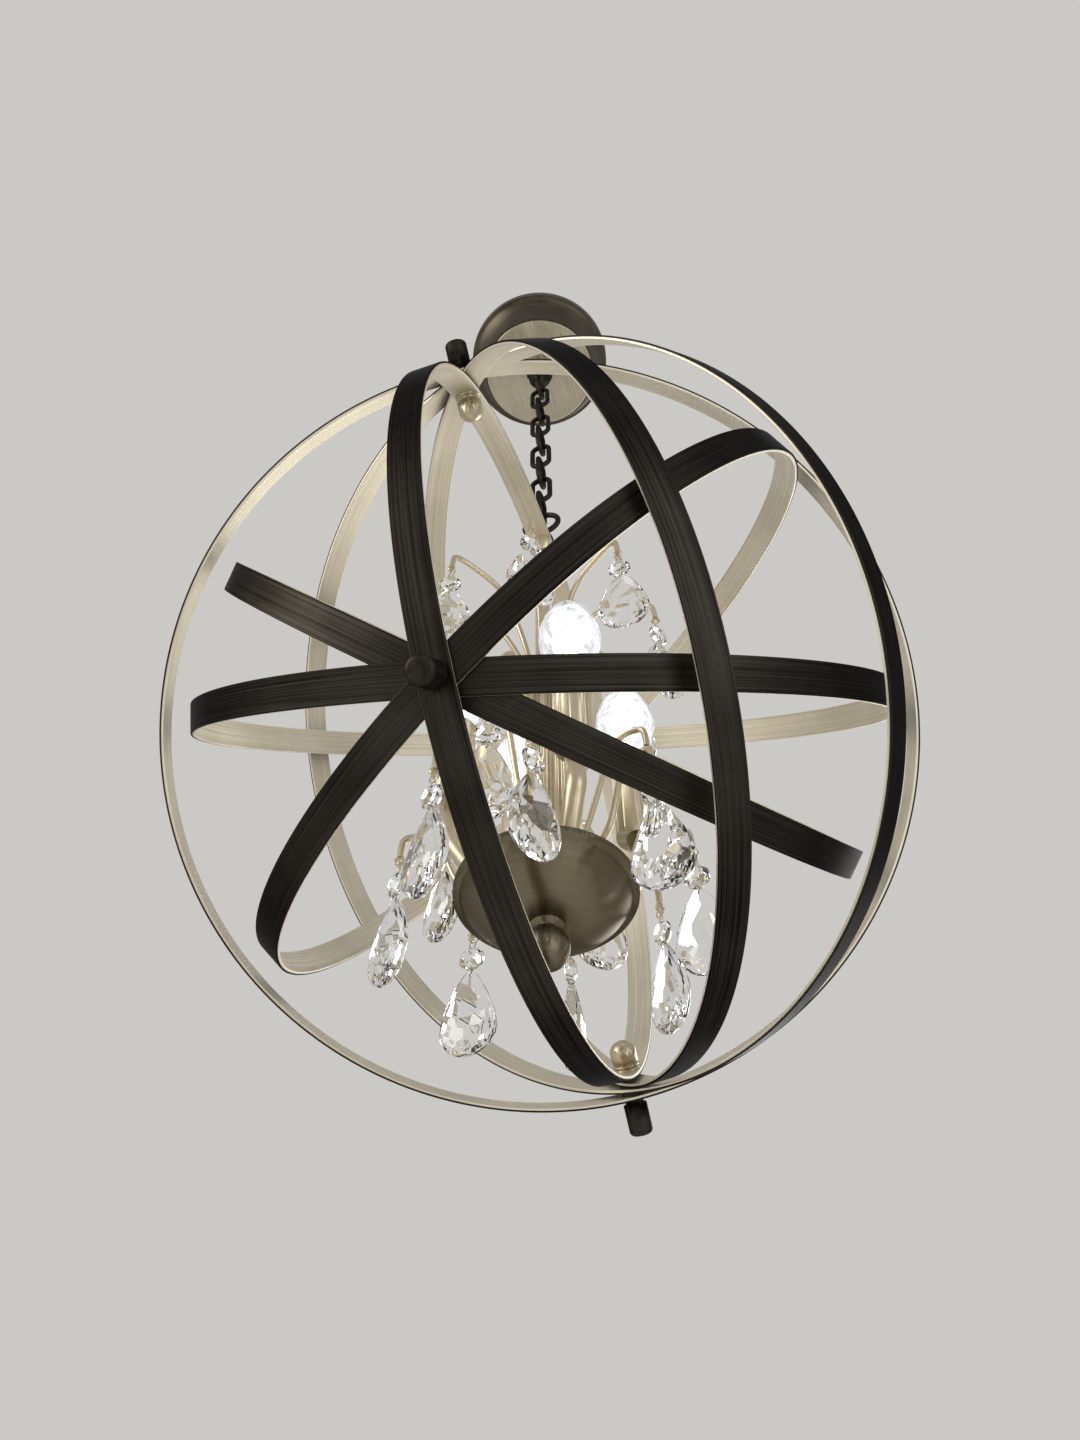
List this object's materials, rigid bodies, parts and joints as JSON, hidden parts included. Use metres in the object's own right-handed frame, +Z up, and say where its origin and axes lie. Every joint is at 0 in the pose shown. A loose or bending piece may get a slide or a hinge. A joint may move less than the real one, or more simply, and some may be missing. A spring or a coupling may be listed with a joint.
{
  "type": "orb chandelier",
  "caption": "Ceiling-hung orb of flat-strap rings turning on crossed axes round a candle-style crystal light fixture, on a chain and round canopy.",
  "frame": {"origin": "centre of the canopy's face on the ceiling, midway between the crossbar's screw slots", "axes": "+Z up along the chain, +X square to the plane of the main ring, along the crossbar"},
  "size_m": [0.4216, 0.4064, 0.7602],
  "materials": {
    "dark_bronze": "satin",
    "strap": "brushed, dark outside and champagne inside",
    "champagne": "brushed",
    "antique_brass": "brushed",
    "bowl_bronze": "brushed",
    "plate": "brushed",
    "steel": "plain",
    "cap_metal": "plain",
    "ceramic": "matt",
    "crystal": "clear",
    "lamp_glass": "clear",
    "filament": "lit"
  },
  "bodies": {
    "ceiling": {"ceiling_crossbar": "steel", "threaded_nipple": "steel", "lock_nut": "steel", "canopy": "dark_bronze", "canopy_plate": "plate", "canopy_collar_loop": "dark_bronze", "collar_screws": "steel"},
    "link_1": {"chain_link_1": "dark_bronze"},
    "link_2": {"chain_link_2": "dark_bronze"},
    "link_3": {"chain_link_3": "dark_bronze"},
    "link_4": {"chain_link_4": "dark_bronze"},
    "link_5": {"chain_link_5": "dark_bronze"},
    "link_6": {"chain_link_6": "dark_bronze"},
    "link_7": {"chain_link_7": "dark_bronze"},
    "link_8": {"chain_link_8": "dark_bronze"},
    "ring_inner_1_body": {"ring_inner_1": "strap"},
    "ring_inner_2_body": {"ring_inner_2": "strap"},
    "ring_inner_3_body": {"ring_inner_3": "strap"},
    "ring_outer_1_body": {"ring_outer_1": "strap"},
    "ring_outer_2_body": {"ring_outer_2": "strap"},
    "ring_outer_3_body": {"ring_outer_3": "strap"},
    "lower_pendant_1_body": {"lower_pendant_1": "crystal"},
    "lower_pendant_2_body": {"lower_pendant_2": "crystal"},
    "lower_pendant_3_body": {"lower_pendant_3": "crystal"},
    "lower_pendant_4_body": {"lower_pendant_4": "crystal"},
    "lower_pendant_5_body": {"lower_pendant_5": "crystal"},
    "lower_pendant_6_body": {"lower_pendant_6": "crystal"},
    "lower_pendant_7_body": {"lower_pendant_7": "crystal"},
    "lower_pendant_8_body": {"lower_pendant_8": "crystal"},
    "orb": {"orb_loop": "dark_bronze", "ring_main": "strap", "axle_bolts": "steel", "spacer_washers": "dark_bronze", "outer_knobs": "dark_bronze", "cap_nuts": "antique_brass", "centre_stem": "champagne", "stem_coupling": "champagne", "arm_hub": "champagne", "bowl": "bowl_bronze", "ball_finial": "bowl_bronze", "candle_arm_1": "champagne", "candle_sleeve_1": "champagne", "lamp_glass_1": "lamp_glass", "candle_arm_2": "champagne", "candle_sleeve_2": "champagne", "lamp_glass_2": "lamp_glass", "candle_arm_3": "champagne", "candle_sleeve_3": "champagne", "lamp_glass_3": "lamp_glass", "candle_arm_4": "champagne", "candle_sleeve_4": "champagne", "lamp_glass_4": "lamp_glass", "lampholders": "ceramic", "lamp_caps": "cap_metal", "lamp_filaments": "filament", "lower_crystal_arms": "champagne", "middle_crystal_arms": "champagne", "upper_crystal_arms": "champagne", "middle_pendants": "crystal", "upper_pendants": "crystal"}
  },
  "joints": [
    {"name": "chain_link_1_swing", "type": "hinge", "parent": "ceiling", "child": "link_1", "pos_m": [0, 0, -0.08], "axis": [0, 1, 0], "range_deg": [-8, 8]},
    {"name": "chain_link_2_swing", "type": "hinge", "parent": "link_1", "child": "link_2", "pos_m": [0, 0, -0.1098], "axis": [1, 0, 0], "range_deg": [-8, 8]},
    {"name": "chain_link_3_swing", "type": "hinge", "parent": "link_2", "child": "link_3", "pos_m": [0, 0, -0.1396], "axis": [0, 1, 0], "range_deg": [-8, 8]},
    {"name": "chain_link_4_swing", "type": "hinge", "parent": "link_3", "child": "link_4", "pos_m": [0, 0, -0.1694], "axis": [1, 0, 0], "range_deg": [-8, 8]},
    {"name": "chain_link_5_swing", "type": "hinge", "parent": "link_4", "child": "link_5", "pos_m": [0, 0, -0.1992], "axis": [0, 1, 0], "range_deg": [-8, 8]},
    {"name": "chain_link_6_swing", "type": "hinge", "parent": "link_5", "child": "link_6", "pos_m": [0, 0, -0.229], "axis": [1, 0, 0], "range_deg": [-8, 8]},
    {"name": "chain_link_7_swing", "type": "hinge", "parent": "link_6", "child": "link_7", "pos_m": [0, 0, -0.2588], "axis": [0, 1, 0], "range_deg": [-8, 8]},
    {"name": "chain_link_8_swing", "type": "hinge", "parent": "link_7", "child": "link_8", "pos_m": [0, 0, -0.2886], "axis": [1, 0, 0], "range_deg": [-8, 8]},
    {"name": "orb_swing", "type": "hinge", "parent": "link_8", "child": "orb", "pos_m": [0, 0, -0.3184], "axis": [0, 1, 0], "range_deg": [-8, 8]},
    {"name": "ring_inner_1_turn", "type": "hinge", "parent": "orb", "child": "ring_inner_1_body", "pos_m": [0, 0, -0.557], "axis": [0, -0.7071, -0.7071], "range_deg": [-75, 16]},
    {"name": "ring_inner_2_turn", "type": "hinge", "parent": "orb", "child": "ring_inner_2_body", "pos_m": [0, 0, -0.557], "axis": [0, -0.7071, -0.7071], "range_deg": [-30, 58]},
    {"name": "ring_inner_3_turn", "type": "hinge", "parent": "orb", "child": "ring_inner_3_body", "pos_m": [0, 0, -0.557], "axis": [0, -0.7071, -0.7071], "range_deg": [-1, 84]},
    {"name": "ring_outer_1_turn", "type": "hinge", "parent": "orb", "child": "ring_outer_1_body", "pos_m": [0, 0, -0.557], "axis": [0, -0.7071, 0.7071], "range_deg": [-19, 136]},
    {"name": "ring_outer_2_turn", "type": "hinge", "parent": "orb", "child": "ring_outer_2_body", "pos_m": [0, 0, -0.557], "axis": [0, -0.7071, 0.7071], "range_deg": [-48, 107]},
    {"name": "ring_outer_3_turn", "type": "hinge", "parent": "orb", "child": "ring_outer_3_body", "pos_m": [0, 0, -0.557], "axis": [0, -0.7071, 0.7071], "range_deg": [-93, 62]},
    {"name": "lower_pendant_1_swing", "type": "hinge", "parent": "orb", "child": "lower_pendant_1_body", "pos_m": [0.0179, -0.0718, -0.6635], "axis": [0.9703, 0.2419, 0], "range_deg": [-3, 8]},
    {"name": "lower_pendant_2_swing", "type": "hinge", "parent": "orb", "child": "lower_pendant_2_body", "pos_m": [0.06472, -0.03588, -0.6635], "axis": [0.4848, 0.8746, 0], "range_deg": [-3, 8]},
    {"name": "lower_pendant_3_swing", "type": "hinge", "parent": "orb", "child": "lower_pendant_3_body", "pos_m": [0.06954, 0.02531, -0.6635], "axis": [-0.342, 0.9397, 0], "range_deg": [-3, 8]},
    {"name": "lower_pendant_4_swing", "type": "hinge", "parent": "orb", "child": "lower_pendant_4_body", "pos_m": [0.0435, 0.05987, -0.6635], "axis": [-0.809, 0.5878, 0], "range_deg": [-3, 8]},
    {"name": "lower_pendant_5_swing", "type": "hinge", "parent": "orb", "child": "lower_pendant_5_body", "pos_m": [-0.0103, 0.07328, -0.6635], "axis": [-0.9903, -0.1392, 0], "range_deg": [-3, 8]},
    {"name": "lower_pendant_6_swing", "type": "hinge", "parent": "orb", "child": "lower_pendant_6_body", "pos_m": [-0.05669, 0.04757, -0.6635], "axis": [-0.6428, -0.766, 0], "range_deg": [-3, 8]},
    {"name": "lower_pendant_7_swing", "type": "hinge", "parent": "orb", "child": "lower_pendant_7_body", "pos_m": [-0.0721, -0.01665, -0.6635], "axis": [0.225, -0.9744, 0], "range_deg": [-3, 8]},
    {"name": "lower_pendant_8_swing", "type": "hinge", "parent": "orb", "child": "lower_pendant_8_body", "pos_m": [-0.03359, -0.06593, -0.6635], "axis": [0.891, -0.454, 0], "range_deg": [-3, 8]}
  ]
}
